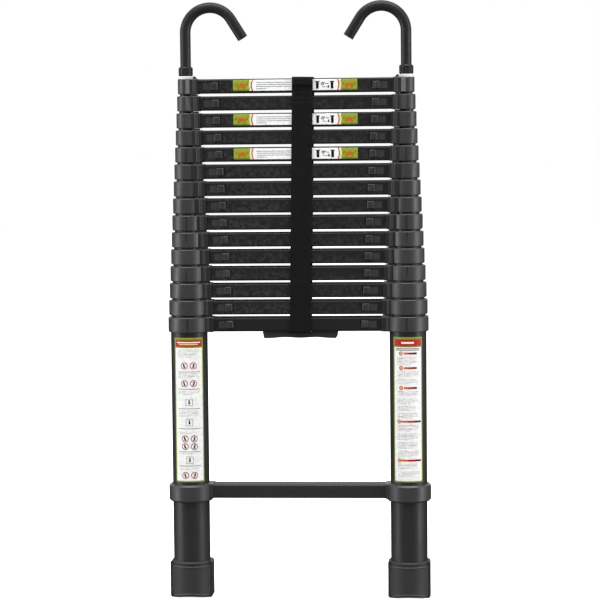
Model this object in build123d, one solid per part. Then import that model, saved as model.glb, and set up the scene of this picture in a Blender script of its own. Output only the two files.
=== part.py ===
from build123d import *
import math
import os

# Telescoping ladder, closed, standing on its feet.
# Millimetres. X runs along the rungs, the front faces -Y, Z is up.
# The origin is on the floor, midway between the two feet.

# ---- ladder
STILE_X = 196.0
RUNG_SPACING = 300.0
STACK_PITCH = 30.25
BOTTOM_RUNG_Z = 192.8
TOP_RUNG = 15
SIDES = {"left": -1, "right": 1}

# ---- telescoping tubes
BASE_TUBE_R = 33.0
TUBE_R_STEP = 1.57
TUBE_WALL = 1.25
TUBE_LENGTH = 355.0
TUBE_TOP_RISE = 9.9
BASE_TUBE_BOTTOM = 10.0
RUNNING_GAP = TUBE_R_STEP - TUBE_WALL
SEAT_GAP = 0.05

# ---- end plugs
PLUG_FLANGE = 4.0
PLUG_SPIGOT = 14.0
PLUG_RING = 4.0

# ---- rungs
RUNG_DEPTH = 38.0
RUNG_HEIGHT = 25.4
RUNG_WALL = 2.0
RUNG_CORNER_R = 3.0
RUNG_INNER_CORNER_R = 1.0
TREAD_RIBS = 7
TREAD_RIB_WIDTH = 2.4
TREAD_RIB_HEIGHT = 0.6

# ---- collars
COLLAR_WALL = 4.2
COLLAR_WALL_STEP = 0.055
COLLAR_HEIGHT = 27.0
COLLAR_CHAMFER = 1.2
SOCKET_REACH = 9.2
SOCKET_DEPTH = 41.0
SOCKET_SHOULDER = 0.6
SLEEVE_RUNOUT = 0.96
PILLAR_R = 6.0
PILLAR_PROUD = 1.0
PILLAR_AT = 0.75
PILLAR_OFFSET = 6.6
SOCKET_BOSS = 16.0
BOSS_WALL = 3.0
BOSS_GAP = 0.8
BUMPER_REACH = 3.0
BUMPER_WIDTH = 38.0
BUMPER_GAP = 0.4
FIN_HEIGHT = 4.8
FIN_THICKNESS = 6.0
FIN_FOOT = 7.0
FIN_TOP = 2.4
FIN_GAP = 0.5

# ---- bottom rung collars
BOTTOM_COLLAR_R = 39.8
BOTTOM_COLLAR_LOW = 174.5
BOTTOM_COLLAR_CHAMFER = 3.0
BOTTOM_SOCKET_REACH = 1.5
BOTTOM_SOCKET_CORNER_R = 2.0

# ---- latches
PIN_R = 3.6
PIN_GAP = 0.3
SLOT_START = 8.5
SLOT_LENGTH = 29.0
SLOT_HEIGHT = 13.6
LATCH_TRAVEL = 8.0
TAB_LENGTH = 11.6
TAB_HEIGHT = 12.8
TAB_PROUD = 1.6
TAB_BACK = -14.0
TAB_GAP = 0.3
TAB_END_GAP = 2.4
TAB_ROOT = 0.2
TAB_CHAMFER = 0.8
TAB_GRIPS = 3
TAB_GRIP_PITCH = 2.6
TAB_GRIP_WIDTH = 0.9
TAB_GRIP_DEPTH = 0.6
TAB_GRIP_MARGIN = 1.5
PLATE_SINK = 0.4
SHUTTER_FACE = -16.7
SHUTTER_OVERLAP = 1.5
STEM_WIDTH = 8.0
STEM_HEIGHT = 10.0
STEM_BACK = 6.0
PIN_CHAMFER = 0.6

# ---- feet
FOOT_HEIGHT = 66.5
FOOT_R = 36.5
FOOT_FLANGE_WIDTH = 76.0
FOOT_FLANGE_DEPTH = 34.0
FOOT_RIM_CHAMFER = 1.8
FOOT_FLANGE_CHAMFER = 3.0
FOOT_ARCH = 4.2
FOOT_ARCH_HALF = 30.5
FOOT_GROOVE_Z = 60.5
FOOT_GROOVE_HEIGHT = 1.4
FOOT_GROOVE_DEPTH = 0.9
SOLE_GROOVES = 5
SOLE_GROOVE_PITCH = 12.0
SOLE_GROOVE_WIDTH = 2.4
SOLE_GROOVE_DEPTH = 1.5

# ---- carry handle
HANDLE_X = 4.5
HANDLE_WIDTH = 134.0
HANDLE_DEPTH = 30.0
HANDLE_DROP = 12.5
HANDLE_TOE = 10.0
HANDLE_TOE_DIP = 4.5
HANDLE_TOE_LEAN = 1.5
HANDLE_TOE_RISE = 3.0
HANDLE_TOE_SLOPE = 0.15
HANDLE_WAVE = 1.9
HANDLE_WAVE_AT = 0.42
HANDLE_BULGE = 0.7
HANDLE_EDGE = 0.2
CHANNEL_DEPTH = 3.6
CHANNEL_SIDE_GAP = 1.5

# ---- strap
STRAP_X = 9.0
STRAP_WIDTH = 37.0
STRAP_LEAN = 1.1
STRAP_THICKNESS = 2.0
STRAP_CLEAR = 1.2
STRAP_UNDER_GAP = 0.8
STRAP_TOP_GAP = 1.0
STRAP_END_DROP = 3.0
STRAP_PLY_GAP = 0.4
FRONT_FLAP = 14.0
BACK_FLAP = 60.0

# ---- hooks
HOOK_R = 9.5
HOOK_WALL = 2.0
HOOK_BEND_R = 44.0
HOOK_BEND_Z = 1011.5
HOOK_TURN = 148.0
HOOK_TAIL = 40.0
HOOK_STEM_BOTTOM = 904.5
TOP_TUBE_RISE = 31.4
WASHER_R = 13.2
WASHER_HEIGHT = 5.0
WASHER_CHAMFER = 1.2

# ---- hook nuts
NUT_R = 12.7
NUT_HEIGHT = 16.0
NUT_LIP = 3.0
NUT_TUBE_GAP = 0.2
NUT_HOOK_GAP = 0.3
NUT_TOP_CHAMFER = 2.0
NUT_BOTTOM_CHAMFER = 1.0
KNURLS = 20
KNURL_R = 1.2
KNURL_DEPTH = 0.7
KNURL_TOP_MARGIN = 3.0


def rung_z(rung):
    """Height of a rung's middle; rung 0 is the fixed bottom one."""
    if rung == 0:
        return BOTTOM_RUNG_Z
    return BOTTOM_RUNG_Z + RUNG_SPACING + (rung - 1) * STACK_PITCH


def tube_r(rung):
    """Outer radius of the tube that carries this rung."""
    return BASE_TUBE_R - (rung - 1) * TUBE_R_STEP


def bore_r(rung):
    return tube_r(rung) - TUBE_WALL


def collar_r(rung):
    """Outer radius of a stack collar; the moulding gets a little thinner upwards."""
    return tube_r(rung) + COLLAR_WALL - (rung - 1) * COLLAR_WALL_STEP


def rung_end(rung):
    """Distance of a rung's end from the middle of the ladder."""
    if rung == 0:
        return STILE_X - BOTTOM_COLLAR_R - BOTTOM_SOCKET_REACH
    return STILE_X - collar_r(rung) - SOCKET_REACH


def along_x(radius, length):
    return Rot(0, 90, 0) * Cylinder(radius, length)


def on_stile(shape, side, z=0.0):
    """Put a shape drawn about the left stile's axis, rung towards +X, on its side."""
    placed = Pos(-STILE_X, 0, z) * shape
    return placed if side < 0 else placed.mirror(Plane.YZ)


def pipe(outer, inner, low, high):
    length = high - low
    return Pos(0, 0, low + length / 2) * (Cylinder(outer, length) - Cylinder(inner, length))


def pin_hole(radius, z):
    return Pos(radius / 2 + 1, 0, z) * along_x(PIN_R + PIN_GAP, radius + 2)


def stile_tube(rung, low, high, hole_heights, side):
    tube = pipe(tube_r(rung), bore_r(rung), low, high)
    for z in hole_heights:
        tube -= pin_hole(tube_r(rung), z)
    return on_stile(tube, side)


def base_tube(side):
    top = rung_z(1) + TUBE_TOP_RISE
    return stile_tube(1, BASE_TUBE_BOTTOM, top, [rung_z(1)], side)


def inner_tube(rung, side):
    z = rung_z(rung)
    low = z + TUBE_TOP_RISE - TUBE_LENGTH
    rise = TOP_TUBE_RISE if rung == TOP_RUNG else TUBE_TOP_RISE
    return stile_tube(rung, low, z + rise, [z, z - RUNG_SPACING], side)


def end_plug(rung, side):
    """Nylon bush pressed in the bottom of an inner tube."""
    bottom = rung_z(rung) + TUBE_TOP_RISE - TUBE_LENGTH
    hole = bore_r(rung) - PLUG_RING
    flange = pipe(tube_r(rung), hole, bottom - PLUG_FLANGE, bottom)
    spigot = pipe(bore_r(rung) - SEAT_GAP, hole, bottom, bottom + PLUG_SPIGOT)
    return on_stile(flange + spigot, side)


def tread_ribs(half_length):
    top = RUNG_HEIGHT / 2 - TREAD_RIB_HEIGHT
    step = (RUNG_DEPTH - 2 * RUNG_CORNER_R) / TREAD_RIBS
    ribs = []
    for n in range(TREAD_RIBS):
        y = (n - (TREAD_RIBS - 1) / 2) * step
        rib = Box(2 * half_length, TREAD_RIB_WIDTH, 2 * TREAD_RIB_HEIGHT)
        ribs.append(Pos(0, y, top) * rib)
    return ribs


def rung_bar(rung, with_slots=True):
    """Hollow rung extrusion with a ribbed tread and, in the stack, two latch slots."""
    half = rung_end(rung)
    height = RUNG_HEIGHT - TREAD_RIB_HEIGHT
    outer = Plane.YZ * RectangleRounded(RUNG_DEPTH, height, RUNG_CORNER_R)
    inner = Plane.YZ * RectangleRounded(
        RUNG_DEPTH - 2 * RUNG_WALL, height - 2 * RUNG_WALL, RUNG_INNER_CORNER_R
    )
    bar = extrude(outer - inner, half, both=True)
    bar = Pos(0, 0, -TREAD_RIB_HEIGHT / 2) * bar
    for rib in tread_ribs(half):
        bar += rib
    if with_slots:
        for side in SIDES.values():
            bar -= latch_slot(half, side)
    return Pos(0, 0, rung_z(rung)) * bar


def latch_slot(half, side):
    middle = half - SLOT_START - SLOT_LENGTH / 2
    return Pos(side * middle, -RUNG_DEPTH / 2, 0) * Box(
        SLOT_LENGTH, 3 * RUNG_WALL, SLOT_HEIGHT
    )


def collar_plan(radius):
    """Round sleeve that runs out into the flat-sided rung socket, a half-round pillar on each side."""
    half = SOCKET_DEPTH / 2
    near = min(SLEEVE_RUNOUT * radius, half)
    shoulder = SOCKET_SHOULDER * radius
    reach = radius + SOCKET_REACH
    socket = Polygon(
        (0, -near), (shoulder, -half), (reach, -half),
        (reach, half), (shoulder, half), (0, near),
        align=None,
    )
    plan = Circle(radius) + socket
    for face in (-1, 1):
        pillar_y = face * (half + PILLAR_PROUD - PILLAR_R)
        plan += Pos(PILLAR_AT * radius + PILLAR_OFFSET, pillar_y) * Circle(PILLAR_R)
    return plan


def chamfered_block(plan, low, high, size):
    block = Pos(0, 0, low) * extrude(plan, high - low)
    rims = block.edges().group_by(Axis.Z)
    return chamfer(rims[0] + rims[-1], size)


def rung_boss(reach):
    """Hollow tongue that fits inside the rung's end, open at the latch slot."""
    depth = RUNG_DEPTH - 2 * RUNG_WALL - BOSS_GAP
    height = RUNG_HEIGHT - TREAD_RIB_HEIGHT - 2 * RUNG_WALL - BOSS_GAP
    middle = reach + SOCKET_BOSS / 2
    boss = Box(SOCKET_BOSS, depth, height)
    boss -= Box(SOCKET_BOSS + 1, depth - 2 * BOSS_WALL, height - 2 * BOSS_WALL)
    boss -= Pos(0, -depth / 2, 0) * Box(SOCKET_BOSS + 1, 3 * BOSS_WALL, SLOT_HEIGHT)
    return Pos(middle, 0, -TREAD_RIB_HEIGHT / 2) * boss


def bumper(radius, top):
    """Pad that the next collar rests on when closed; the top collar has a stop fin."""
    if top:
        near = WASHER_R + FIN_GAP
        fin = Plane.XZ * Polygon(
            (near, 0), (near + FIN_FOOT, 0), (near + FIN_TOP, FIN_HEIGHT), (near, FIN_HEIGHT),
            align=None,
        )
        return Pos(0, 0, COLLAR_HEIGHT / 2) * extrude(fin, FIN_THICKNESS / 2, both=True)
    root = SOCKET_SHOULDER * radius
    length = radius + BUMPER_REACH - root
    height = STACK_PITCH - COLLAR_HEIGHT - BUMPER_GAP
    pad = Box(length, BUMPER_WIDTH, height, align=(Align.MIN, Align.CENTER, Align.MIN))
    return Pos(root, 0, COLLAR_HEIGHT / 2) * pad


def collar(rung, side):
    """Moulded collar: clamps its own tube, guides the next one, holds the rung."""
    radius = collar_r(rung)
    half = COLLAR_HEIGHT / 2
    top = rung == TOP_RUNG
    body = chamfered_block(collar_plan(radius), -half, half, COLLAR_CHAMFER)
    body += rung_boss(radius + SOCKET_REACH)
    body += bumper(radius, top)
    seat_top = half + 1 if top else TUBE_TOP_RISE
    body -= Pos(0, 0, (seat_top - half - 1) / 2) * Cylinder(
        tube_r(rung) + SEAT_GAP, seat_top + half + 1
    )
    if not top:
        body -= Cylinder(tube_r(rung + 1) + RUNNING_GAP, 2 * STACK_PITCH)
    body -= Pos((radius + SOCKET_REACH) / 2 + 1, 0, 0) * along_x(
        PIN_R + PIN_GAP, radius + SOCKET_REACH + 2
    )
    return on_stile(body, side, rung_z(rung))


def bottom_collar(side):
    """Collar that fixes the bottom rung part-way up the base tube."""
    high = BOTTOM_RUNG_Z + RUNG_HEIGHT / 2
    body = chamfered_block(
        Circle(BOTTOM_COLLAR_R), BOTTOM_COLLAR_LOW, high, BOTTOM_COLLAR_CHAMFER
    )
    reach = BOTTOM_COLLAR_R + BOTTOM_SOCKET_REACH
    socket = Box(reach, SOCKET_DEPTH, COLLAR_HEIGHT)
    body += Pos(reach / 2, 0, BOTTOM_RUNG_Z) * fillet(
        socket.edges().filter_by(Axis.X), BOTTOM_SOCKET_CORNER_R
    )
    body += Pos(0, 0, BOTTOM_RUNG_Z) * rung_boss(reach)
    body -= Pos(0, 0, BOTTOM_RUNG_Z) * Cylinder(BASE_TUBE_R + SEAT_GAP, 4 * RUNG_HEIGHT)
    return on_stile(body, side)


def block(low, high, front, back):
    """Box as high as the thumb tab, from low to high along the rung."""
    box = Box(high - low, back - front, TAB_HEIGHT)
    return Pos((low + high) / 2, (front + back) / 2, 0) * box


def thumb_tab(start):
    """The proud thumb piece with its grip grooves; its inner end runs over the rung's face."""
    rung_face = -RUNG_DEPTH / 2
    face = rung_face - TAB_PROUD
    tab = block(start, start + TAB_LENGTH, face, rung_face - TAB_GAP)
    tab = chamfer(tab.edges().group_by(Axis.Y)[0], TAB_CHAMFER)
    for n in range(TAB_GRIPS):
        x = start + TAB_LENGTH / 2 + (n - (TAB_GRIPS - 1) / 2) * TAB_GRIP_PITCH
        height = TAB_HEIGHT - 2 * TAB_GRIP_MARGIN
        tab -= Pos(x, face, 0) * Box(TAB_GRIP_WIDTH, 2 * TAB_GRIP_DEPTH, height)
    return tab


def latch(rung, side):
    """Thumb slider and the locking pin it pulls towards the middle of the rung."""
    slot_start = collar_r(rung) + SOCKET_REACH + SLOT_START
    slot_end = slot_start + SLOT_LENGTH
    tab_start = slot_end - TAB_END_GAP - TAB_LENGTH
    tab_middle = tab_start + TAB_LENGTH / 2
    plate_end = slot_end - LATCH_TRAVEL - TAB_GAP
    plate_face = PLATE_SINK - RUNG_DEPTH / 2
    slider = thumb_tab(tab_start)
    slider += block(tab_start, plate_end, -RUNG_DEPTH / 2 - TAB_GAP - TAB_ROOT, plate_face)
    slider += block(slot_start + TAB_GAP, plate_end, plate_face, TAB_BACK)
    slider += block(
        slot_start - LATCH_TRAVEL + TAB_GAP, slot_end + SHUTTER_OVERLAP, SHUTTER_FACE, TAB_BACK
    )
    stem = Box(STEM_WIDTH, STEM_BACK - TAB_BACK, STEM_HEIGHT)
    slider += Pos(tab_middle, (TAB_BACK + STEM_BACK) / 2, 0) * stem
    pin_start = bore_r(rung)
    pin_length = tab_middle + STEM_WIDTH / 2 - pin_start
    middle = pin_start + pin_length / 2
    slider -= Pos(middle, 0, 0) * along_x(PIN_R + SEAT_GAP, pin_length + STEM_WIDTH)
    pin = Pos(middle, 0, 0) * along_x(PIN_R, pin_length)
    pin = chamfer(pin.edges().group_by(Axis.X)[0], PIN_CHAMFER)
    z = rung_z(rung)
    return [on_stile(slider, side, z), on_stile(pin, side, z)]


def foot(side):
    """Rubber boot with side flanges, a lipped rim and an arched sole."""
    round_part = Pos(0, 0, FOOT_HEIGHT / 2) * Cylinder(FOOT_R, FOOT_HEIGHT)
    rim = round_part.edges().group_by(Axis.Z)
    body = chamfer(rim[0] + rim[-1], FOOT_RIM_CHAMFER)
    flange = Pos(0, 0, FOOT_HEIGHT / 2) * Box(
        FOOT_FLANGE_WIDTH, FOOT_FLANGE_DEPTH, FOOT_HEIGHT
    )
    body += chamfer(flange.edges().filter_by(Axis.Y), FOOT_FLANGE_CHAMFER)
    groove_top = FOOT_GROOVE_Z + FOOT_GROOVE_HEIGHT
    body -= pipe(FOOT_R + 1, FOOT_R - FOOT_GROOVE_DEPTH, FOOT_GROOVE_Z, groove_top)
    arch_r = (FOOT_ARCH_HALF**2 + FOOT_ARCH**2) / (2 * FOOT_ARCH)
    arch = Rot(90, 0, 0) * Cylinder(arch_r, 3 * FOOT_R)
    body -= Pos(0, 0, FOOT_ARCH - arch_r) * arch
    for n in range(SOLE_GROOVES):
        y = (n - (SOLE_GROOVES - 1) / 2) * SOLE_GROOVE_PITCH
        body -= Pos(0, y, 0) * Box(
            2 * FOOT_FLANGE_WIDTH, SOLE_GROOVE_WIDTH, 2 * SOLE_GROOVE_DEPTH
        )
    bore_height = FOOT_HEIGHT - BASE_TUBE_BOTTOM + 1
    body -= Pos(0, 0, BASE_TUBE_BOTTOM + bore_height / 2) * Cylinder(
        BASE_TUBE_R + SEAT_GAP, bore_height
    )
    return on_stile(body, side)


def handle_outline():
    """Front outline of the grip, hanging from Z 0: a toe at each end, a wavy underside."""
    half = HANDLE_WIDTH / 2
    low = -HANDLE_DROP
    toe = half - HANDLE_TOE
    dip = half - HANDLE_TOE_DIP
    shoulder = half - HANDLE_TOE_LEAN
    wave_x = half * HANDLE_WAVE_AT
    inner = low + HANDLE_EDGE
    wave = Spline(
        (-toe, inner), (-wave_x, low + HANDLE_WAVE), (0, low + HANDLE_BULGE),
        (wave_x, low + HANDLE_WAVE), (toe, inner),
        tangents=[(1, 0), (1, 0)],
    )
    rise = low + HANDLE_TOE_RISE
    slope = HANDLE_TOE_SLOPE
    left_toe = Spline((-shoulder, rise), (-dip, low), (-toe, inner), tangents=[(slope, -1), (1, 0)])
    right_toe = Spline((toe, inner), (dip, low), (shoulder, rise), tangents=[(1, 0), (slope, 1)])
    left = Line((-half, 0), (-shoulder, rise))
    right = Line((shoulder, rise), (half, 0))
    top = Line((half, 0), (-half, 0))
    return make_face([left, left_toe, wave, right_toe, right, top])


def carry_handle():
    """Grip pad screwed under the lowest rung of the stack, with a channel for the strap."""
    under_rung = rung_z(1) - RUNG_HEIGHT / 2
    grip = extrude(Plane.XZ * handle_outline(), HANDLE_DEPTH / 2, both=True)
    width = STRAP_WIDTH + 2 * CHANNEL_SIDE_GAP
    channel = Box(width, HANDLE_DEPTH + 2, 2 * CHANNEL_DEPTH)
    grip -= Pos(strap_x(under_rung) - HANDLE_X, 0, 0) * channel
    return Pos(HANDLE_X, 0, under_rung) * grip


def stack_middle():
    return (rung_z(1) + rung_z(TOP_RUNG)) / 2


def strap_x(z):
    """Middle of the leaning strap at this height."""
    return STRAP_X + (z - stack_middle()) * math.tan(math.radians(STRAP_LEAN))


def leaning(shape):
    middle = stack_middle()
    return Pos(STRAP_X, 0, middle) * Rot(0, STRAP_LEAN, 0) * Pos(0, 0, -middle) * shape


def strap():
    """The long run of the strap: down the front, under rung 1 and up the back."""
    inner = RUNG_DEPTH / 2 + STRAP_CLEAR
    outer = inner + STRAP_THICKNESS
    low = rung_z(1) - RUNG_HEIGHT / 2 - STRAP_UNDER_GAP - STRAP_THICKNESS
    high = rung_z(TOP_RUNG) + RUNG_HEIGHT / 2 - STRAP_END_DROP
    web = Pos(0, 0, (low + high) / 2) * Box(STRAP_WIDTH, 2 * outer, high - low)
    hollow = Box(STRAP_WIDTH + 2, 2 * inner, high - low)
    web -= Pos(0, 0, (low + high) / 2 + STRAP_THICKNESS) * hollow
    return leaning(web)


def strap_top():
    """The closing end of the strap: over the top rung, down outside both ends."""
    inner = RUNG_DEPTH / 2 + STRAP_CLEAR + STRAP_THICKNESS + STRAP_PLY_GAP
    outer = inner + STRAP_THICKNESS
    under = rung_z(TOP_RUNG) + RUNG_HEIGHT / 2 + STRAP_TOP_GAP
    high = under + STRAP_THICKNESS
    cap = Pos(0, 0, (under + high) / 2) * Box(STRAP_WIDTH, 2 * outer, STRAP_THICKNESS)
    for face, length in ((-1, FRONT_FLAP), (1, BACK_FLAP)):
        flap = Box(STRAP_WIDTH, STRAP_THICKNESS, length + STRAP_THICKNESS)
        y = face * (inner + STRAP_THICKNESS / 2)
        cap += Pos(0, y, high - (length + STRAP_THICKNESS) / 2) * flap
    return leaning(cap)


def hook_path():
    turn = math.radians(HOOK_TURN)
    stem_top = (0, 0, HOOK_BEND_Z)
    bend_end = (
        HOOK_BEND_R * (1 - math.cos(turn)), 0, HOOK_BEND_Z + HOOK_BEND_R * math.sin(turn)
    )
    tail_end = (
        bend_end[0] + HOOK_TAIL * math.sin(turn), 0, bend_end[2] + HOOK_TAIL * math.cos(turn)
    )
    half_turn = turn / 2
    bend_middle = (
        HOOK_BEND_R * (1 - math.cos(half_turn)), 0, HOOK_BEND_Z + HOOK_BEND_R * math.sin(half_turn)
    )
    stem = Line((0, 0, HOOK_STEM_BOTTOM), stem_top)
    bend = ThreePointArc(stem_top, bend_middle, bend_end)
    tail = Line(bend_end, tail_end)
    return Wire([stem, bend, tail])


def hook(side):
    """Roof hook bent from tube, open at its end; its stem stands in the top tube."""
    path = hook_path()
    start = Plane((0, 0, HOOK_STEM_BOTTOM))
    outer = sweep(start * Circle(HOOK_R), path=path)
    inner = sweep(start * Circle(HOOK_R - HOOK_WALL), path=path)
    return on_stile(outer - inner, side)


def hook_washer(side):
    low = rung_z(TOP_RUNG) + COLLAR_HEIGHT / 2
    ring = pipe(WASHER_R, tube_r(TOP_RUNG) + SEAT_GAP, low, low + WASHER_HEIGHT)
    outer_rim = ring.edges().group_by(Axis.Z)[-1].sort_by(SortBy.RADIUS)[-1:]
    return on_stile(chamfer(outer_rim, WASHER_CHAMFER), side)


def hook_nut(side):
    """Knurled gland nut that clamps the hook's stem in the top tube."""
    low = rung_z(TOP_RUNG) + COLLAR_HEIGHT / 2 + WASHER_HEIGHT + BUMPER_GAP
    high = low + NUT_HEIGHT
    middle = (low + high) / 2
    body = Pos(0, 0, middle) * Cylinder(NUT_R, NUT_HEIGHT)
    body = chamfer(body.edges().group_by(Axis.Z)[-1], NUT_TOP_CHAMFER)
    body = chamfer(body.edges().group_by(Axis.Z)[0], NUT_BOTTOM_CHAMFER)
    knurl_top = high - KNURL_TOP_MARGIN
    groove = Cylinder(KNURL_R, NUT_HEIGHT, align=(Align.CENTER, Align.CENTER, Align.MAX))
    for n in range(KNURLS):
        placed = Pos(NUT_R + KNURL_R - KNURL_DEPTH, 0, knurl_top) * groove
        body -= Rot(0, 0, n * 360 / KNURLS) * placed
    body -= Pos(0, 0, middle - NUT_LIP) * Cylinder(tube_r(TOP_RUNG) + NUT_TUBE_GAP, NUT_HEIGHT)
    body -= Pos(0, 0, middle) * Cylinder(HOOK_R + NUT_HOOK_GAP, NUT_HEIGHT + 2)
    return on_stile(body, side)


def section(rung):
    """One moving section: two tubes, two collars, a rung and two end plugs."""
    pieces = [rung_bar(rung)]
    for side in SIDES.values():
        pieces += [inner_tube(rung, side), collar(rung, side), end_plug(rung, side)]
        if rung == TOP_RUNG:
            pieces.append(hook_washer(side))
    return pieces


def write(name, *pieces):
    solids = [solid for piece in pieces for solid in piece.solids()]
    shape = solids[0] if len(solids) == 1 else Compound(children=solids)
    export_step(shape, f"parts/{name}.step")


def main():
    os.makedirs("parts", exist_ok=True)
    for name, side in SIDES.items():
        write(f"foot_{name}", foot(side))
        write(f"base_tube_{name}", base_tube(side))
        write(f"bottom_collar_{name}", bottom_collar(side))
        write(f"hook_{name}", hook(side))
        write(f"hook_nut_{name}", hook_nut(side))
        for rung in range(1, TOP_RUNG + 1):
            write(f"latch_{name}_{rung:02d}", *latch(rung, side))
    write("bottom_rung", rung_bar(0, with_slots=False))
    write("rung_01", rung_bar(1))
    write("collars_01", collar(1, -1), collar(1, 1))
    write("carry_handle", carry_handle())
    write("strap", strap())
    write("strap_top", strap_top())
    for rung in range(2, TOP_RUNG + 1):
        write(f"section_{rung:02d}", *section(rung))


main()
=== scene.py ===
import math

import bpy
import numpy as np
from mathutils import Matrix, Vector


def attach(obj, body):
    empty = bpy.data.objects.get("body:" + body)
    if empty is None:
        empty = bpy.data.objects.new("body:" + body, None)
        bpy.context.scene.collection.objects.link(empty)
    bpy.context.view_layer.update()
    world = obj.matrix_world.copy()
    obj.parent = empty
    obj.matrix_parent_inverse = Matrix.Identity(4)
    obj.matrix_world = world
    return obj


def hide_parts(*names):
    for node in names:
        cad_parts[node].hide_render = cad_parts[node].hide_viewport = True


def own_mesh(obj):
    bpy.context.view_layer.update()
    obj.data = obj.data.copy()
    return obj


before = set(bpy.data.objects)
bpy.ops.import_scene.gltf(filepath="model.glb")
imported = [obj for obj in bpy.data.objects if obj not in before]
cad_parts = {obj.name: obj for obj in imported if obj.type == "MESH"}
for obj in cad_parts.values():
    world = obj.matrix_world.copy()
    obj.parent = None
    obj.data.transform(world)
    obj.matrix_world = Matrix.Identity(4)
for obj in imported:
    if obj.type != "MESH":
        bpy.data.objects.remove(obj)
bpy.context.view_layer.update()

# ---- the ladder's driving sizes, in metres, as in the CAD
STILE_X = 0.196
STACK_PITCH = 0.03025
BOTTOM_RUNG_Z = 0.1928
RUNG_SPACING = 0.3
TOP_RUNG = 15
SIDES = {"left": -1, "right": 1}
RUNG_DEPTH = 0.038
RUNG_HEIGHT = 0.0254
RUNG_CORNER_R = 0.003
TREAD_RIB_HEIGHT = 0.0006
BASE_TUBE_R = 0.033
TUBE_R_STEP = 0.00157
COLLAR_WALL = 0.0042
COLLAR_WALL_STEP = 0.000055
COLLAR_HEIGHT = 0.027
SOCKET_REACH = 0.0092
SOCKET_DEPTH = 0.041
WASHER_R = 0.0132
WASHER_HEIGHT = 0.005
STRAP_X = 0.009
STRAP_WIDTH = 0.037
STRAP_LEAN = 1.1
STRAP_THICKNESS = 0.002
STRAP_CLEAR = 0.0012
STRAP_UNDER_GAP = 0.0008
STRAP_TOP_GAP = 0.001
STRAP_END_DROP = 0.003
STRAP_PLY_GAP = 0.0004
FRONT_FLAP = 0.014
BACK_FLAP = 0.06

# ---- the view
CAMERA_PLACE = (0.3054, -4.2, 0.8639)
CAMERA_YAW = 4.109
CAMERA_PITCH = 4.468
CAMERA_ROLL = 0.574
CAMERA_LENS = 141.9
SENSOR = 36.0

SAME_SURFACE = 0.00003
MM = 0.001


def rung_z(rung):
    return BOTTOM_RUNG_Z + RUNG_SPACING + (rung - 1) * STACK_PITCH


def tube_r(rung):
    return BASE_TUBE_R - (rung - 1) * TUBE_R_STEP


def collar_r(rung):
    return tube_r(rung) + COLLAR_WALL - (rung - 1) * COLLAR_WALL_STEP


def rung_end(rung):
    return STILE_X - collar_r(rung) - SOCKET_REACH


def body_of_rung(rung):
    return "base" if rung == 1 else f"section_{rung:02d}"


# ---------------------------------------------------------------- shader helpers
def new_material(name):
    material = bpy.data.materials.new(name)
    material.use_nodes = True
    tree = material.node_tree
    return material, tree, tree.nodes["Principled BSDF"]


def noise(tree, coords, scale, stretch=(1, 1, 1), detail=3.0):
    mapping = tree.nodes.new("ShaderNodeMapping")
    mapping.inputs["Scale"].default_value = stretch
    tree.links.new(coords, mapping.inputs["Vector"])
    texture = tree.nodes.new("ShaderNodeTexNoise")
    texture.inputs["Scale"].default_value = scale
    texture.inputs["Detail"].default_value = detail
    tree.links.new(mapping.outputs["Vector"], texture.inputs["Vector"])
    return texture.outputs["Fac"]


def ranged(tree, value, low, high, out_low=0.0, out_high=1.0):
    node = tree.nodes.new("ShaderNodeMapRange")
    settings = {"From Min": low, "From Max": high, "To Min": out_low, "To Max": out_high}
    for name, setting in settings.items():
        node.inputs[name].default_value = setting
    tree.links.new(value, node.inputs["Value"])
    return node.outputs["Result"]


def maths(tree, operation, first, second):
    node = tree.nodes.new("ShaderNodeMath")
    node.operation = operation
    for socket, value in zip(node.inputs, (first, second)):
        if isinstance(value, (int, float)):
            socket.default_value = value
        else:
            tree.links.new(value, socket)
    return node.outputs["Value"]


def mixed(tree, factor, first, second):
    node = tree.nodes.new("ShaderNodeMix")
    node.data_type = "RGBA"
    tree.links.new(factor, node.inputs["Factor"])
    for name, value in (("A", first), ("B", second)):
        socket = next(s for s in node.inputs if s.name == name and s.type == "RGBA")
        if isinstance(value, tuple):
            socket.default_value = (*value, 1)
        else:
            tree.links.new(value, socket)
    return next(s for s in node.outputs if s.type == "RGBA")


def bump(tree, shader, height, strength, distance):
    node = tree.nodes.new("ShaderNodeBump")
    node.inputs["Strength"].default_value = strength
    node.inputs["Distance"].default_value = distance
    tree.links.new(height, node.inputs["Height"])
    tree.links.new(node.outputs["Normal"], shader.inputs["Normal"])


def grey(value, blue=1.0):
    return (value, value, value * blue)


def object_coords(tree):
    return tree.nodes.new("ShaderNodeTexCoord").outputs["Object"]


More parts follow.
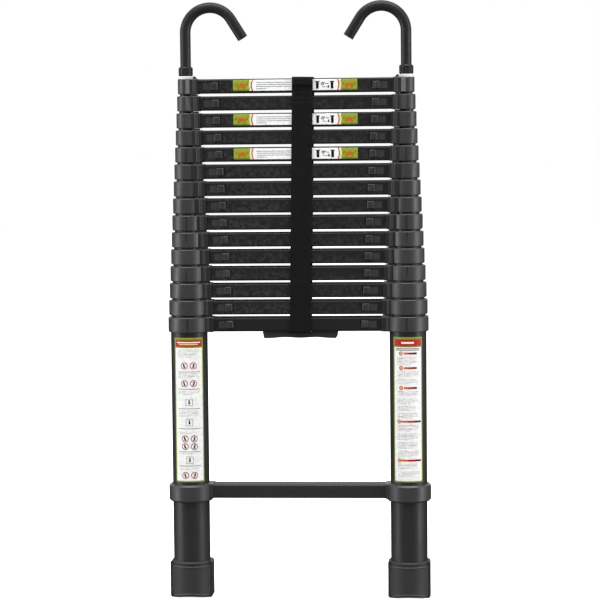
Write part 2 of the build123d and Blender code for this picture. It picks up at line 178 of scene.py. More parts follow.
# ---------------------------------------------------------------- materials
def finished(name, dark, light, rough, specular, streak, grain, wear):
    """A hard surface: streaked or speckled colour, uneven gloss, fine grain, rubbed edges.

    dark and light are the colour's two ends, rough the roughness's; streak is (scale, stretch),
    grain (scale, stretch, strength) and wear (colour, amount)."""
    material, tree, shader = new_material(name)
    coords = object_coords(tree)
    fine = noise(tree, coords, streak[0], streak[1])
    blotch = noise(tree, coords, 11.0, detail=1.5)
    colour = mixed(tree, ranged(tree, fine, 0.3, 0.7), dark, light)
    colour = mixed(tree, ranged(tree, blotch, 0.4, 0.8, 0.0, 0.4), colour, light)
    pointed = tree.nodes.new("ShaderNodeNewGeometry").outputs["Pointiness"]
    edge = ranged(tree, pointed, 0.53, 0.62)
    patchy = ranged(tree, noise(tree, coords, 180.0), 0.42, 0.66)
    scuffs = ranged(tree, noise(tree, coords, 70.0, (1.0, 1.0, 6.0), 8.0), 0.68, 0.78, 0.0, 0.15)
    worn = maths(tree, "MAXIMUM", maths(tree, "MULTIPLY", edge, patchy), scuffs)
    worn = maths(tree, "MULTIPLY", worn, wear[1])
    tree.links.new(mixed(tree, worn, colour, wear[0]), shader.inputs["Base Color"])
    tree.links.new(ranged(tree, blotch, 0.3, 0.7, rough[0], rough[1]), shader.inputs["Roughness"])
    shader.inputs["Specular IOR Level"].default_value = specular
    bump(tree, shader, noise(tree, coords, grain[0], grain[1]), grain[2], 0.0002)
    return material


def webbing_material():
    """Plain-woven strap: weft ribs across, warp threads along, faint lint."""
    material, tree, shader = new_material("webbing")
    uv = tree.nodes.new("ShaderNodeTexCoord").outputs["UV"]
    waves = []
    for direction, scale in (("X", 0.2), ("Y", 0.26), ("DIAGONAL", 0.12)):
        wave = tree.nodes.new("ShaderNodeTexWave")
        wave.bands_direction = direction
        wave.inputs["Scale"].default_value = scale
        wave.inputs["Distortion"].default_value = 0.6
        tree.links.new(uv, wave.inputs["Vector"])
        waves.append(wave.outputs["Fac"])
    weave = maths(tree, "MULTIPLY", maths(tree, "ADD", waves[0], waves[2]), waves[1])
    lint = ranged(tree, noise(tree, object_coords(tree), 900.0, detail=6.0), 0.5, 0.8)
    colour = mixed(tree, ranged(tree, weave, 0.1, 1.3), grey(0.0025), grey(0.009, 1.05))
    colour = mixed(tree, maths(tree, "MULTIPLY", lint, 0.25), colour, grey(0.03))
    tree.links.new(colour, shader.inputs["Base Color"])
    tree.links.new(ranged(tree, weave, 0.0, 1.5, 0.95, 0.75), shader.inputs["Roughness"])
    shader.inputs["Specular IOR Level"].default_value = 0.15
    shader.inputs["Sheen Weight"].default_value = 0.04
    bump(tree, shader, weave, 0.7, 0.0004)
    return material


def vinyl(name, colour):
    """Printed, laminated sticker film."""
    material, tree, shader = new_material(name)
    coords = object_coords(tree)
    shade = tuple(c * 0.86 for c in colour)
    mottle = ranged(tree, noise(tree, coords, 160.0), 0.35, 0.65)
    tree.links.new(mixed(tree, mottle, shade, colour), shader.inputs["Base Color"])
    tree.links.new(ranged(tree, noise(tree, coords, 50.0), 0.3, 0.7, 0.32, 0.5), shader.inputs["Roughness"])
    shader.inputs["Specular IOR Level"].default_value = 0.16
    bump(tree, shader, noise(tree, coords, 90.0), 0.08, 0.0002)
    return material


ROUND = (1, 1, 1)
UPRIGHT = (1.0, 1.0, 0.012)
LENGTHWISE = (0.012, 1.0, 1.0)
BARE = grey(0.1)
tube_metal = finished(
    "black_tube", grey(0.021, 1.04), grey(0.028, 1.04), (0.34, 0.44), 0.3,
    (900.0, UPRIGHT), (1500.0, UPRIGHT, 0.10), (BARE, 0.25),
)
rung_metal = finished(
    "black_rung", grey(0.0125), grey(0.0155, 1.03), (0.44, 0.5), 0.25,
    (900.0, LENGTHWISE), (1500.0, LENGTHWISE, 0.12), (BARE, 0.3),
)
# Lighter copy of the rung metal for the bottom rung: painted light for its brighter front and top faces.
bottom_rung_painted_light = finished(
    "bottom_rung_metal_painted_light", grey(0.022, 1.04), grey(0.028, 1.05), (0.36, 0.43), 0.4,
    (900.0, LENGTHWISE), (1500.0, LENGTHWISE, 0.12), (BARE, 0.3),
)
collar_plastic = finished(
    "collar_nylon", grey(0.034), grey(0.048), (0.34, 0.46), 0.45,
    (700.0, ROUND), (1800.0, ROUND, 0.16), (grey(0.12), 0.35),
)
rubber = finished(
    "foot_rubber", grey(0.026), grey(0.036), (0.5, 0.62), 0.36,
    (1200.0, ROUND), (1400.0, ROUND, 0.22), (grey(0.09), 0.3),
)
latch_plastic = finished(
    "latch_nylon", grey(0.03), grey(0.042), (0.36, 0.48), 0.4,
    (900.0, ROUND), (1900.0, ROUND, 0.14), (grey(0.16), 0.4),
)
nut_plastic = finished(
    "nut_nylon", grey(0.004), grey(0.009), (0.3, 0.42), 0.34,
    (900.0, ROUND), (1800.0, ROUND, 0.14), (grey(0.1), 0.3),
)
grip_plastic = finished(
    "grip_nylon", grey(0.022), grey(0.03), (0.45, 0.6), 0.3,
    (900.0, ROUND), (1700.0, ROUND, 0.2), (grey(0.1), 0.3),
)
washer_nylon = finished(
    "washer_nylon", grey(0.62), grey(0.78), (0.4, 0.5), 0.4,
    (400.0, ROUND), (1200.0, ROUND, 0.08), (grey(0.5), 0.2),
)
hook_metal = finished(
    "black_hook", grey(0.016, 1.03), grey(0.022, 1.03), (0.34, 0.44), 0.24,
    (900.0, UPRIGHT), (1500.0, ROUND, 0.10), (BARE, 0.25),
)
# Darker copy of the collar nylon for the flat socket faces: painted shade, as the sockets are the same
# moulding as the collars.
socket_painted_shade = finished(
    "socket_painted_shade", grey(0.018), grey(0.026), (0.4, 0.5), 0.36,
    (700.0, ROUND), (1800.0, ROUND, 0.16), (grey(0.12), 0.35),
)
# Light grey for the raised line round the boot fronts: a painted highlight along the boot's front edges.
piping_painted_highlight = finished(
    "piping_painted_highlight", grey(0.06), grey(0.085), (0.4, 0.5), 0.4,
    (1200.0, ROUND), (1400.0, ROUND, 0.22), (grey(0.12), 0.3),
)
webbing = webbing_material()
thread = finished(
    "thread", grey(0.02), grey(0.035), (0.7, 0.8), 0.2,
    (1500.0, ROUND), (2500.0, ROUND, 0.3), (grey(0.06), 0.2),
)
PRINT = {
    "white": vinyl("film_white", (0.93, 0.94, 0.92)),
    "lime": vinyl("film_lime", (0.28, 0.39, 0.03)),
    "olive": vinyl("film_olive", (0.17, 0.23, 0.02)),
    "red": vinyl("film_red", (0.55, 0.012, 0.008)),
    "orange": vinyl("film_orange", (0.66, 0.12, 0.015)),
    "cream": vinyl("film_cream", (0.88, 0.78, 0.36)),
    "grey": vinyl("film_grey", (0.15, 0.16, 0.18)),
    "rose": vinyl("film_rose", (0.42, 0.07, 0.08)),
    "ink": vinyl("film_ink", (0.008, 0.008, 0.009)),
    "maroon": vinyl("film_maroon", (0.16, 0.012, 0.01)),
}
INKS = list(PRINT)


# ---------------------------------------------------------------- CAD nodes
WELD_GAP = 0.00001
SHARP_ANGLE = math.radians(34)


def soften(piece, width):
    """Round the node's sharp edges with modifiers, leaving its own mesh alone."""
    mesh = piece.data
    for name in ("custom_normal", "sharp_edge", "sharp_face"):
        attribute = mesh.attributes.get(name)
        if attribute is not None:
            mesh.attributes.remove(attribute)
    weld = piece.modifiers.new("weld", "WELD")
    weld.merge_threshold = WELD_GAP
    bevel = piece.modifiers.new("bevel", "BEVEL")
    bevel.width = width
    bevel.segments = 2
    bevel.limit_method = "ANGLE"
    bevel.angle_limit = SHARP_ANGLE
    normals = piece.modifiers.new("normals", "WEIGHTED_NORMAL")
    normals.weight = 80


def paint(node, *materials):
    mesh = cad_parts[node].data
    mesh.materials.clear()
    for material in materials:
        mesh.materials.append(material)


SECTION_MATERIALS = (collar_plastic, tube_metal, rung_metal, washer_nylon, socket_painted_shade)
TUBE, RUNG, WASHER, SOCKET = range(1, len(SECTION_MATERIALS))
FACING_FRONT = 0.999


def paint_section(node, rung):
    """A section's collars, their flat socket faces, tubes, rung and the top one's washers."""
    paint(node, *SECTION_MATERIALS)
    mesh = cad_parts[node].data
    count = len(mesh.polygons)
    centres = np.zeros(count * 3)
    facing = np.zeros(count * 3)
    mesh.polygons.foreach_get("center", centres)
    mesh.polygons.foreach_get("normal", facing)
    x, y, z = centres.reshape(-1, 3).T
    from_axis = np.hypot(np.abs(x) - STILE_X, y)
    index = np.zeros(count, np.int32)
    flat = np.abs(facing.reshape(-1, 3)[:, 1]) > FACING_FRONT
    outermost = np.abs(y) > SOCKET_DEPTH / 2 - SAME_SURFACE
    # The flat front and back socket faces take the darker copy of the collar nylon, a painted shade.
    index[flat & outermost & (np.abs(x) < STILE_X)] = SOCKET
    if rung == TOP_RUNG:
        washer_low = rung_z(rung) + COLLAR_HEIGHT / 2 - SAME_SURFACE
        washer_high = washer_low + WASHER_HEIGHT + 2 * SAME_SURFACE
        in_washer = (z > washer_low) & (z < washer_high)
        index[in_washer & (from_axis < WASHER_R + SAME_SURFACE)] = WASHER
    index[from_axis < tube_r(rung) + SAME_SURFACE] = TUBE
    index[np.abs(x) < rung_end(rung) + SAME_SURFACE] = RUNG
    mesh.polygons.foreach_set("material_index", index)


SECTION_BEVEL = 0.0004
NODE_LOOKS = (
    ("foot_", rubber, 0.0009),
    ("base_tube_", tube_metal, 0.0004),
    ("hook_nut_", nut_plastic, 0.0003),
    ("hook_", hook_metal, 0.0005),
    ("bottom_collar_", collar_plastic, 0.0007),
    # The bottom rung gets the lighter copy of the rung metal, a painted light.
    ("bottom_rung", bottom_rung_painted_light, 0.0003),
    ("rung_", rung_metal, 0.0003),
    ("latch_", latch_plastic, 0.0003),
    ("carry_handle", grip_plastic, 0.0012),
)
for name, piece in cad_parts.items():
    if name.startswith("strap"):
        continue
    if name.startswith("section_") or name == "collars_01":
        paint_section(name, int(name[-2:]))
        soften(piece, SECTION_BEVEL)
        continue
    _, material, bevel_width = next(row for row in NODE_LOOKS if name.startswith(row[0]))
    paint(name, material)
    soften(piece, bevel_width)


# ---------------------------------------------------------------- mesh builder
class Builder:
    """Collects closed shapes, each with a material index, into one mesh piece."""

    def __init__(self):
        self.verts, self.faces, self.kinds, self.smooth = [], [], [], []

    def add(self, verts, faces, kind, smooth=False):
        start = len(self.verts)
        self.verts += [tuple(v) for v in verts]
        self.faces += [tuple(start + i for i in face) for face in faces]
        self.kinds += [kind] * len(faces)
        self.smooth += [smooth] * len(faces)

    def piece(self, name, materials):
        mesh = bpy.data.meshes.new(name)
        mesh.from_pydata(self.verts, [], self.faces)
        for material in materials:
            mesh.materials.append(material)
        mesh.polygons.foreach_set("material_index", np.array(self.kinds, np.int32))
        mesh.polygons.foreach_set("use_smooth", np.array(self.smooth, bool))
        mesh.update()
        made = bpy.data.objects.new(name, mesh)
        bpy.context.scene.collection.objects.link(made)
        return made


# ---------------------------------------------------------------- labels
def on_tube(side, turn):
    """Surface of a base tube's front: u runs round it, v is the height."""
    def place(u, v, lift):
        angle = u / BASE_TUBE_R + math.radians(turn)
        radius = BASE_TUBE_R + lift
        return (side * STILE_X + radius * math.sin(angle), -radius * math.cos(angle), v)
    return place


RUNG_BEND_V = RUNG_HEIGHT / 2 - TREAD_RIB_HEIGHT - RUNG_CORNER_R


def on_rung(rung):
    """Surface of a rung's front: u is x, v runs up the face and over the top corner."""
    front = -RUNG_DEPTH / 2

    def place(u, v, lift):
        if v <= RUNG_BEND_V:
            return (u, front - lift, rung_z(rung) + v)
        angle = (v - RUNG_BEND_V) / RUNG_CORNER_R
        radius = RUNG_CORNER_R + lift
        y = front + RUNG_CORNER_R - radius * math.cos(angle)
        return (u, y, rung_z(rung) + RUNG_BEND_V + radius * math.sin(angle))
    return place


FILM = 0.00016
INK = 0.00006
UNDER_FILM = 0.00001
LABEL_STEP = 3 * MM
BENT_STEP = 0.5 * MM


def chance(first, second):
    """A repeatable number between 0 and 1."""
    return math.sin(first * 12.9898 + second * 7823.3) * 0.5 + 0.5


class Label:
    """A sticker on a curved face: a film with printed marks lying on it."""

    def __init__(self, place, bend_from=None):
        self.place, self.builder, self.bend_from = place, Builder(), bend_from

    def _closed(self, rows, kind, low, high):
        """A slab over rows of (u, v) points, all rows the same length."""
        wide, tall = len(rows[0]), len(rows)
        verts = [self.place(u, v, lift) for lift in (high, low) for row in rows for u, v in row]
        back = wide * tall
        faces = []
        for r in range(tall - 1):
            for c in range(wide - 1):
                i = r * wide + c
                quad = (i, i + 1, i + wide + 1, i + wide)
                faces.append(quad)
                faces.append(tuple(back + j for j in reversed(quad)))
        rim = list(range(wide))
        rim += [r * wide + wide - 1 for r in range(1, tall)]
        rim += [(tall - 1) * wide + c for c in range(wide - 2, -1, -1)]
        rim += [r * wide for r in range(tall - 2, 0, -1)]
        for a, b in zip(rim, rim[1:] + rim[:1]):
            faces.append((b, a, back + a, back + b))
        self.builder.add(verts, faces, INKS.index(kind))

    def bar(self, kind, u, v, width, height, layer=1, slope=0.0):
        """A rectangle round (u, v), or a leaning one; layer 0 is the film itself."""
        steps_u = max(1, round(width / LABEL_STEP))
        bent = self.bend_from is not None and v + height / 2 > self.bend_from
        steps_v = max(1, math.ceil(height / BENT_STEP)) if bent else 1
        low = UNDER_FILM if layer == 0 else FILM + (layer - 1) * INK
        high = FILM if layer == 0 else FILM + layer * INK
        rows = []
        for r in range(steps_v + 1):
            y = v - height / 2 + height * r / steps_v
            row = []
            for c in range(steps_u + 1):
                x = -width / 2 + width * c / steps_u
                row.append((u + x + slope * (y - v), y))
            rows.append(row)
        self._closed(rows, kind, low, high)

    def disc(self, kind, u, v, radius, hole=0.0, layer=1, points=20):
        """A round dot, or a ring if it has a hole."""
        rows = []
        for n in range(points + 1):
            a = 2 * math.pi * n / points
            rows.append([(u + r * math.cos(a), v + r * math.sin(a)) for r in (hole, radius)])
        self._closed(rows, kind, FILM + (layer - 1) * INK, FILM + layer * INK)

    def lines(self, kind, u, top, width, count, pitch=2.5 * MM, height=0.9 * MM, short=0.62):
        """Rows of uneven dashes that stand for small print."""
        for n in range(count):
            run = width * (short if n == count - 1 and count > 1 else 0.9 + 0.1 * chance(n, top))
            at, end = u - width / 2, u - width / 2 + run
            step = 0
            while at < end - 2 * MM:
                length = min((5 + 13 * chance(step, n + top)) * MM, end - at)
                self.bar(kind, at + length / 2, top - n * pitch, length, height)
                at += length + 0.8 * MM
                step += 1

    def piece(self, name, body):
        made = self.builder.piece(name, [PRINT[ink] for ink in INKS])
        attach(made, body)
        return made


BASE_LABEL_TOP = 0.4705
BASE_LABEL_HEIGHT = 0.259
BASE_LABEL_WIDTH = 0.056
BASE_LABEL_BORDER = 0.0022


def base_label_blank(label):
    """Edged white sheet with a red head; returns the width inside its edge."""
    middle = BASE_LABEL_TOP - BASE_LABEL_HEIGHT / 2
    label.bar("lime", 0, middle, BASE_LABEL_WIDTH, BASE_LABEL_HEIGHT, layer=0)
    inner_w = BASE_LABEL_WIDTH - 2 * BASE_LABEL_BORDER
    inner_h = BASE_LABEL_HEIGHT - 2 * BASE_LABEL_BORDER
    label.bar("white", 0, middle, inner_w, inner_h)
    label.bar("olive", 0, BASE_LABEL_TOP - 10 * MM, inner_w, 15.5 * MM, layer=2)
    label.bar("red", 0, BASE_LABEL_TOP - 10 * MM, inner_w - 1 * MM, 11 * MM, layer=3)
    return inner_w


def mark_ring(label, u, v, turned):
    """A red ring round a plain dark pin that leans one way or the other."""
    label.disc("rose", u, v, 6.4 * MM, hole=5.0 * MM, layer=2)
    label.bar("ink", u, v - 1.4 * MM, 3.0 * MM, 5.0 * MM, layer=2, slope=0.35 * turned)
    label.disc("ink", u + turned * MM, v + 2.5 * MM, 1.6 * MM, layer=2, points=10)
    label.bar("rose", u, v, 1.1 * MM, 8.4 * MM, layer=3, slope=-0.9 * turned)


def mark_square(label, u, v):
    """A grey frame round a plain pin."""
    size, line = 12.0 * MM, 0.8 * MM
    for way in (-1, 1):
        label.bar("grey", u, v + way * size / 2, size, line, layer=2)
        label.bar("grey", u + way * size / 2, v, line, size, layer=2)
    label.bar("ink", u, v - 1.0 * MM, 2.8 * MM, 5.0 * MM, layer=2)
    label.disc("ink", u, v + 3.0 * MM, 1.5 * MM, layer=2, points=10)


def left_base_label():
    """Green-edged sheet with a red head, small print, rings and frames between rules."""
    label = Label(on_tube(-1, 3.5))
    inner = base_label_blank(label)
    label.bar("white", 0, BASE_LABEL_TOP - 8.4 * MM, inner * 0.84, 2.0 * MM, layer=4)
    label.bar("cream", 0, BASE_LABEL_TOP - 11.8 * MM, inner * 0.66, 1.5 * MM, layer=4)
    text_w = inner * 0.8
    for top, count in ((22, 6), (64, 4), (96, 3), (131, 5), (169, 2), (208, 1), (234, 2)):
        label.lines("grey", 0, BASE_LABEL_TOP - top * MM, text_w, count)
    for at in (61, 92, 127, 163, 204.5, 230):
        label.bar("olive", 0, BASE_LABEL_TOP - at * MM, text_w, 1.1 * MM, layer=2)
    for at in (50, 82, 181, 195, 247):
        for way in (-1, 1):
            mark_ring(label, way * 8.2 * MM, BASE_LABEL_TOP - at * MM, way)
    for at in (115.5, 151.7, 219.5):
        mark_square(label, 0, BASE_LABEL_TOP - at * MM)
    return label.piece("label_base_left", "base")


def right_base_label():
    """The same sheet with five headed bars and longer small print."""
    label = Label(on_tube(1, 0.0))
    inner = base_label_blank(label)
    label.bar("white", 0, BASE_LABEL_TOP - 10 * MM, inner * 0.44, 3.2 * MM, layer=4)
    for n in range(2):
        label.bar("grey", 0, BASE_LABEL_TOP - (20.5 + 2.6 * n) * MM, inner * 0.86, 1.5 * MM, layer=2)
    heads = (29, 55, 90.5, 150.5, 220)
    wide = (False, False, False, True, True)
    for at, is_wide in zip(heads, wide):
        v = BASE_LABEL_TOP - at * MM
        head, start, end = (-16.5, -12.4, 24.3) if is_wide else (-12.4, -7.0, 16.5)
        label.disc("red", head * MM, v, 3.7 * MM, layer=2)
        label.disc("cream", head * MM, v, 2.2 * MM, layer=3, points=12)
        label.disc("orange", head * MM, v, 1.2 * MM, layer=4, points=10)
        third = (end - start) / 3
        for n, kind in enumerate(("orange", "red", "maroon")):
            middle = start + third * (n + 0.5)
            label.bar(kind, middle * MM, v, (third + 0.2) * MM, 3.6 * MM, layer=2)
    ends = heads[1:] + (BASE_LABEL_HEIGHT / MM - 3,)
    for at, end in zip(heads, ends):
        rows = int((end - at - 9) / 2.5)
        groups = max(1, rows // 5)
        for group in range(groups):
            top = at + 6.5 + group * (end - at - 8) / groups
            count = rows // groups - (groups > 1)
            label.lines("grey", 1.0 * MM, BASE_LABEL_TOP - top * MM, inner * 0.78, count)
    return label.piece("label_base_right", "base")


RUNG_LABEL_HALF = 0.110
RUNG_LABEL_LOW = -0.0085
RUNG_LABEL_HIGH = 0.0107
BADGE = 0.0292


def badge(label, side):
    """Green end block with a blank orange plate on it, and its curved divider."""
    middle = side * (RUNG_LABEL_HALF - BADGE / 2)
    height = RUNG_LABEL_HIGH - RUNG_LABEL_LOW
    v = (RUNG_LABEL_HIGH + RUNG_LABEL_LOW) / 2
    label.bar("lime", middle, v, BADGE, height, layer=1)
    label.bar("olive", middle, v - height / 2 + 1.2 * MM, BADGE, 2.4 * MM, layer=2)
    for n in range(5):
        u = middle + (n - 2) * 5.0 * MM
        label.bar("olive", u, v + (1.5 - n % 2 * 6.0) * MM, 2.4 * MM, 5.0 * MM, layer=2, slope=0.5)
    label.bar("orange", middle, v - 0.6 * MM, 15.0 * MM, 6.4 * MM, layer=3)
    edge = side * (RUNG_LABEL_HALF - BADGE)
    arcs = (("red", 5.6 * MM, 2.0 * MM), ("cream", 2.6 * MM, 2.4 * MM))
    for kind, offset, width in arcs:
        steps = 8
        for n in range(steps):
            part = height / steps
            at = RUNG_LABEL_LOW + part * (n + 0.5)
            bulge = 2.4 * MM * math.sin(math.pi * (n + 0.5) / steps)
            label.bar(kind, edge - side * (offset - bulge), at, width, part, layer=2)


def sleeve_mark(label, u, v):
    """A plain dark tube with a cap line, as on an instruction strip."""
    label.bar("ink", u, v - 1.4 * MM, 4.8 * MM, 11.5 * MM, layer=2)
    label.bar("ink", u, v + 5.4 * MM, 7.4 * MM, 1.8 * MM, layer=2)


def rung_label(rung):
    """Long strip with a green block at each end, small print and a few plain marks."""
    label = Label(on_rung(rung), RUNG_BEND_V)
    v = (RUNG_LABEL_HIGH + RUNG_LABEL_LOW) / 2
    height = RUNG_LABEL_HIGH - RUNG_LABEL_LOW
    label.bar("white", 0, v, 2 * RUNG_LABEL_HALF, height, layer=0)
    for side in SIDES.values():
        badge(label, side)
    label.lines("grey", -38.5 * MM, v + 4.6 * MM, 61 * MM, 4, pitch=3.5 * MM, height=1.0 * MM, short=0.3)
    for u in (39.5 * MM, 65.5 * MM):
        sleeve_mark(label, u, v)
    label.disc("ink", 48.5 * MM, v + 2.0 * MM, 2.6 * MM, hole=1.3 * MM, layer=2)
    label.disc("red", 52.0 * MM, v + 3.4 * MM, 1.2 * MM, layer=2, points=10)
    label.bar("ink", 56.5 * MM, v + 2.0 * MM, 6 * MM, 1.0 * MM, layer=2)
    label.bar("grey", 53 * MM, v - 4.0 * MM, 8 * MM, 0.9 * MM, layer=2)
    label.bar("grey", 49.5 * MM, v - 2.6 * MM, 0.9 * MM, 3.4 * MM, layer=2)
    label.bar("ink", 59.0 * MM, v - 3.4 * MM, 2.4 * MM, 4.6 * MM, layer=2)
    return label.piece(f"label_rung_{rung:02d}", body_of_rung(rung))


left_base_label()
right_base_label()
for rung in (15, 13, 11):
    rung_label(rung)


# ---------------------------------------------------------------- feet
FOOT_R = 0.0365
FOOT_FACE = 0.017
FOOT_ARCH = 0.0042
FOOT_ARCH_HALF = 0.0305
PIPING_R = 0.0009
PIPING_X = 0.0322
PIPING_TOP = 0.0575
PIPING_RISE = 0.0048


def tube_along(builder, points, radius, kind, sides=6):
    """A closed bead along a path of points."""
    verts = []
    for n, point in enumerate(points):
        way = (points[min(n + 1, len(points) - 1)] - points[max(n - 1, 0)]).normalized()
        side = way.cross(Vector((0, 1, 0))).normalized()
        out = side.cross(way).normalized()
        for k in range(sides):
            a = 2 * math.pi * k / sides
            verts.append(point + radius * (math.cos(a) * side + math.sin(a) * out))
    faces = []
    for n in range(len(points) - 1):
        for k in range(sides):
            m = (k + 1) % sides
            faces.append((n * sides + k, n * sides + m, (n + 1) * sides + m, (n + 1) * sides + k))
    last = (len(points) - 1) * sides
    faces += [tuple(reversed(range(sides))), tuple(last + k for k in range(sides))]
    builder.add(verts, faces, kind, smooth=True)


def boot_face(x, z):
    """Point on the front of a boot, x from its middle."""
    return Vector((x, -max(FOOT_FACE, math.sqrt(FOOT_R**2 - x * x)), z))


def arch_z(x):
    """Height of the sole's arch at x from the boot's middle."""
    if abs(x) >= FOOT_ARCH_HALF:
        return 0.0
    return FOOT_ARCH * (1 - (x / FOOT_ARCH_HALF) ** 2)


def foot_piping(name, side):
    """Raised line moulded round the front of a boot, closed by one rim line across its top."""
    builder = Builder()
    shift = Vector((side * STILE_X, 0, 0))
    span = [PIPING_X * (n / 12 - 1) for n in range(2 * 12 + 1)]
    sole = [boot_face(x, arch_z(x) + PIPING_RISE) for x in span]
    tops = [boot_face(x, PIPING_TOP) for x in reversed(span)]
    left, right = [], []
    for n in range(1, 10):
        z = PIPING_RISE + (PIPING_TOP - PIPING_RISE) * n / 10
        right.append(boot_face(PIPING_X, z))
        left.append(boot_face(-PIPING_X, PIPING_TOP + PIPING_RISE - z))
    ring = [point + shift for point in sole + right + tops + left + sole[:1]]
    tube_along(builder, ring, PIPING_R, 0)
    # The bead's light grey is a painted highlight, lighter than the boot rubber.
    piece = builder.piece(f"foot_piping_{name}", [piping_painted_highlight])
    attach(piece, "base")


for name, side in SIDES.items():
    foot_piping(name, side)


# ---------------------------------------------------------------- strap
def rounded_path(corners, radius, steps=6):
    """Points of a polyline in (y, z) with its inner corners rounded."""
    points = [Vector(corners[0])]
    for before, corner, after in zip(corners, corners[1:], corners[2:]):
        a, b, c = Vector(before), Vector(corner), Vector(after)
        into, out = (b - a).normalized(), (c - b).normalized()
        start, end = b - into * radius, b + out * radius
        for n in range(steps + 1):
            t = n / steps
            points.append(start.lerp(b, t).lerp(b.lerp(end, t), t))
    points.append(Vector(corners[-1]))
    return points


def evenly(points, step):
    """The same path with no span longer than step."""
    out = [points[0]]
    for a, b in zip(points, points[1:]):
        pieces = max(1, math.ceil((b - a).length / step))
        out += [a.lerp(b, n / pieces) for n in range(1, pieces + 1)]
    return out


def web_section(thickness):
    """Half-outline of the webbing across its width: (u, height), with thick selvedges."""
    half, edge = STRAP_WIDTH / 2, 2.2 * MM
    across = [-half + edge + (2 * half - 2 * edge) * n / 8 for n in range(9)]
    low = 0.8 * thickness / 2
    upper = [(-half, 0.0), (-half + 0.3 * MM, 0.8 * thickness / 2), (-half + 1.1 * MM, thickness / 2)]
    upper += [(u, low) for u in across]
    upper += [(-u, h) for u, h in reversed(upper[:3])]
    return upper


def leaning(x, y, z):
    """Lean a point of the upright strap to the side, about the middle of the stack."""
    middle = (rung_z(1) + rung_z(TOP_RUNG)) / 2
    lean = math.radians(STRAP_LEAN)
    height = z - middle
    return (
        STRAP_X + x * math.cos(lean) + height * math.sin(lean),
        y,
        middle - x * math.sin(lean) + height * math.cos(lean),
    )


def webbing_strip(builder, path, thickness, ripple):
    """Sweep the webbing along a (y, z) path; returns each vertex's (across, along) in mm."""
    upper = web_section(thickness)
    outline = upper + [(u, -h) for u, h in reversed(upper[1:-1])]
    count = len(outline)
    verts, marks, along = [], [], 0.0
    for n, point in enumerate(path):
        before, after = path[max(n - 1, 0)], path[min(n + 1, len(path) - 1)]
        way = (after - before).normalized()
        normal = Vector((-way.y, way.x))
        along += (point - before).length
        sway = ripple * math.sin(along * 41.0) * math.sin(along * 97.0 + 1.3)
        for u, h in outline:
            cup = ripple * 0.5 * math.cos(u / STRAP_WIDTH * math.pi) * math.sin(along * 63.0)
            place = point + normal * (h + sway + cup)
            verts.append(leaning(u, place.x, place.y))
            marks.append((u / MM, along / MM))
    faces = []
    for n in range(len(path) - 1):
        for k in range(count):
            m = (k + 1) % count
            faces.append((n * count + k, n * count + m, (n + 1) * count + m, (n + 1) * count + k))
    last = (len(path) - 1) * count
    faces.append(tuple(reversed(range(count))))
    faces.append(tuple(last + k for k in range(count)))
    builder.add(verts, faces, 0, smooth=True)
    return marks


def stitch(builder, x, y, z, run, way):
    """One raised stitch, a six-sided bead along x or z on the face at y."""
    radius = 0.35 * MM
    verts = []
    for t, size in ((-0.5, 0.2), (-0.3, 1.0), (0.3, 1.0), (0.5, 0.2)):
        for k in range(6):
            a = math.pi * k / 3
            side, out = radius * size * math.cos(a), radius * size * math.sin(a)
            along = run * t
            dx, dz = (along, side) if way == "x" else (side, along)
            verts.append(leaning(x + dx, y + out, z + dz))
    faces = [
        (6 * r + k, 6 * r + (k + 1) % 6, 6 * r + 6 + (k + 1) % 6, 6 * r + 6 + k)
        for r in range(3) for k in range(6)
    ]
    faces.append(tuple(reversed(range(6))))
    faces.append(tuple(18 + k for k in range(6)))
    builder.add(verts, faces, 1, smooth=True)


def stitched_box(builder, y, low, high):
    """A sewn rectangle with a cross row, near the end of a strap."""
    inset, pitch = 3.0 * MM, 2.6 * MM
    half = STRAP_WIDTH / 2 - inset
    columns = int(2 * half / pitch)
    for z in (low, (low + high) / 2, high):
        for n in range(columns + 1):
            stitch(builder, -half + 2 * half * n / columns, y, z, 0.8 * pitch, "x")
    rows = max(2, int((high - low) / pitch))
    for x in (-half, half):
        for n in range(rows):
            stitch(builder, x, y, low + (high - low) * (n + 0.5) / rows, 0.8 * pitch, "z")


def lay_weave(piece, marks):
    """UVs in millimetres, across and along the webbing, for the weave."""
    layer = piece.data.uv_layers.new(name="weave")
    for loop in piece.data.loops:
        if loop.vertex_index < len(marks):
            layer.data[loop.index].uv = marks[loop.vertex_index]


def strap_band():
    """The long run: down the front, under the lowest stack rung, up the back."""
    builder = Builder()
    out = RUNG_DEPTH / 2 + STRAP_CLEAR + STRAP_THICKNESS / 2
    low = rung_z(1) - RUNG_HEIGHT / 2 - STRAP_UNDER_GAP - STRAP_THICKNESS / 2
    high = rung_z(TOP_RUNG) + RUNG_HEIGHT / 2 - STRAP_END_DROP
    corners = [(-out, high), (-out, low), (out, low), (out, high)]
    path = evenly(rounded_path(corners, 3.5 * MM), 4 * MM)
    marks = webbing_strip(builder, path, 1.5 * MM, 0.18 * MM)
    stitched_box(builder, -out - 0.8 * MM, high - 40 * MM, high - 22 * MM)
    piece = builder.piece("strap_band", [webbing, thread])
    lay_weave(piece, marks)
    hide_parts("strap")
    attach(piece, "base")
    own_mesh(piece)


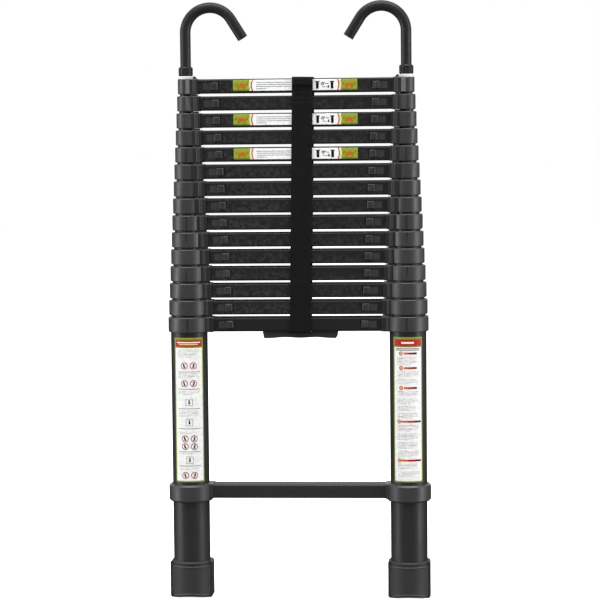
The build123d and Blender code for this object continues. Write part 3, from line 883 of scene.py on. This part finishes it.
def strap_closing():
    """The closing end: over the top rung and down outside both ends of the band."""
    builder = Builder()
    out = RUNG_DEPTH / 2 + STRAP_CLEAR + STRAP_THICKNESS * 1.5 + STRAP_PLY_GAP
    top = rung_z(TOP_RUNG) + RUNG_HEIGHT / 2 + STRAP_TOP_GAP + STRAP_THICKNESS / 2
    corners = [(-out, top - FRONT_FLAP), (-out, top), (out, top), (out, top - BACK_FLAP)]
    path = evenly(rounded_path(corners, 4.5 * MM), 3 * MM)
    marks = webbing_strip(builder, path, 1.6 * MM, 0.1 * MM)
    stitched_box(builder, -out - 0.85 * MM, top - FRONT_FLAP + 2 * MM, top - 4 * MM)
    stitched_box(builder, out + 0.85 * MM, top - BACK_FLAP + 4 * MM, top - BACK_FLAP + 24 * MM)
    piece = builder.piece("strap_closing", [webbing, thread])
    lay_weave(piece, marks)
    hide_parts("strap_top")
    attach(piece, f"section_{TOP_RUNG}")


strap_band()
strap_closing()


# ---------------------------------------------------------------- stage
FLOOR_HALF = 14.0
FLOOR_GLOW = 0.93


def floor():
    """A plain white floor that shows to the camera and doesn't light the ladder."""
    mesh = bpy.data.meshes.new("floor")
    h = FLOOR_HALF
    mesh.from_pydata([(-h, -h, 0), (h, -h, 0), (h, h, 0), (-h, h, 0)], [], [(0, 1, 2, 3)])
    piece = bpy.data.objects.new("floor", mesh)
    bpy.context.scene.collection.objects.link(piece)
    material, tree, shader = new_material("floor_white")
    tone = ranged(tree, noise(tree, object_coords(tree), 2.0), 0.3, 0.7)
    tree.links.new(mixed(tree, tone, grey(0.9), grey(0.93)), shader.inputs["Base Color"])
    shader.inputs["Roughness"].default_value = 0.9
    shader.inputs["Specular IOR Level"].default_value = 0.1
    shader.inputs["Emission Color"].default_value = (1, 1, 1, 1)
    shader.inputs["Emission Strength"].default_value = FLOOR_GLOW
    mesh.materials.append(material)
    piece.visible_glossy = False
    piece.visible_diffuse = False


def area_light(name, place, aim, width, height, power):
    data = bpy.data.lights.new(name, "AREA")
    data.shape = "RECTANGLE"
    data.size = width
    data.size_y = height
    data.energy = power
    light = bpy.data.objects.new(name, data)
    light.location = place
    direction = Vector(aim) - Vector(place)
    light.rotation_euler = direction.to_track_quat("-Z", "Y").to_euler()
    bpy.context.scene.collection.objects.link(light)


AMBIENT = 0.56
SIDE_GLOW = 1.1
BACK_GLOW = 1.1
DIM = 0.02
# where the reflected panels fade in, in parts of a unit direction
SIDE_PANEL_X = (0.68, 0.84)
SIDE_PANEL_MIDDLE_Y = -0.22
SIDE_PANEL_HALF_Y = (0.54, 0.36)
BACK_PANEL_Y = (0.3, 0.8)
BACK_PANEL_Z = (0.04, 0.14)


def studio_world():
    """White to look at, even as a light; in reflections two side panels and a low back panel."""
    world = bpy.data.worlds.new("studio")
    world.use_nodes = True
    tree = world.node_tree
    background = tree.nodes["Background"]
    direction = tree.nodes.new("ShaderNodeTexCoord").outputs["Generated"]
    split = tree.nodes.new("ShaderNodeSeparateXYZ")
    tree.links.new(direction, split.inputs["Vector"])
    x, y, z = (split.outputs[axis] for axis in "XYZ")
    sideways = ranged(tree, maths(tree, "ABSOLUTE", x, 0.0), *SIDE_PANEL_X)
    off_middle = maths(tree, "ABSOLUTE", maths(tree, "ADD", y, -SIDE_PANEL_MIDDLE_Y), 0.0)
    panels = maths(tree, "MULTIPLY", sideways, ranged(tree, off_middle, *SIDE_PANEL_HALF_Y))
    behind = maths(
        tree, "MULTIPLY", ranged(tree, y, *BACK_PANEL_Y), ranged(tree, z, *BACK_PANEL_Z)
    )
    mirrored = mixed(tree, panels, grey(DIM), grey(SIDE_GLOW))
    mirrored = mixed(tree, behind, mirrored, grey(BACK_GLOW))
    path = tree.nodes.new("ShaderNodeLightPath").outputs
    light = mixed(tree, path["Is Glossy Ray"], grey(AMBIENT), mirrored)
    tree.links.new(mixed(tree, path["Is Camera Ray"], light, grey(1.0)), background.inputs["Color"])
    bpy.context.scene.world = world


def lights():
    """Tall strips beside the ladder and a wide soft light above its full extended height."""
    for side in SIDES.values():
        area_light(f"strip_{side}", (side * 2.3, -0.75, 0.8), (0, 0, 0.5), 0.6, 2.4, 30)
    area_light("overhead", (0, -1.2, 6.4), (0, 0, 0.4), 7.2, 4.8, 600)


def camera():
    """A long lens in front, level with the stack, looking a little down."""
    data = bpy.data.cameras.new("camera")
    data.sensor_width = SENSOR
    data.lens = CAMERA_LENS
    data.clip_end = 60
    yaw, pitch, roll = (math.radians(a) for a in (CAMERA_YAW, CAMERA_PITCH, CAMERA_ROLL))
    right = Vector((math.cos(yaw), math.sin(yaw), 0))
    level = Vector((-math.sin(yaw), math.cos(yaw), 0))
    up = Vector((0, 0, 1))
    forward = math.cos(pitch) * level - math.sin(pitch) * up
    head_up = math.sin(pitch) * level + math.cos(pitch) * up
    x_axis = math.cos(roll) * right - math.sin(roll) * head_up
    y_axis = math.sin(roll) * right + math.cos(roll) * head_up
    turn = Matrix((x_axis, y_axis, -forward)).transposed().to_4x4()
    holder = bpy.data.objects.new("camera", data)
    holder.matrix_world = Matrix.Translation(CAMERA_PLACE) @ turn
    bpy.context.scene.collection.objects.link(holder)
    bpy.context.scene.camera = holder


floor()
studio_world()
lights()
camera()
bpy.context.scene.view_settings.view_transform = "Standard"
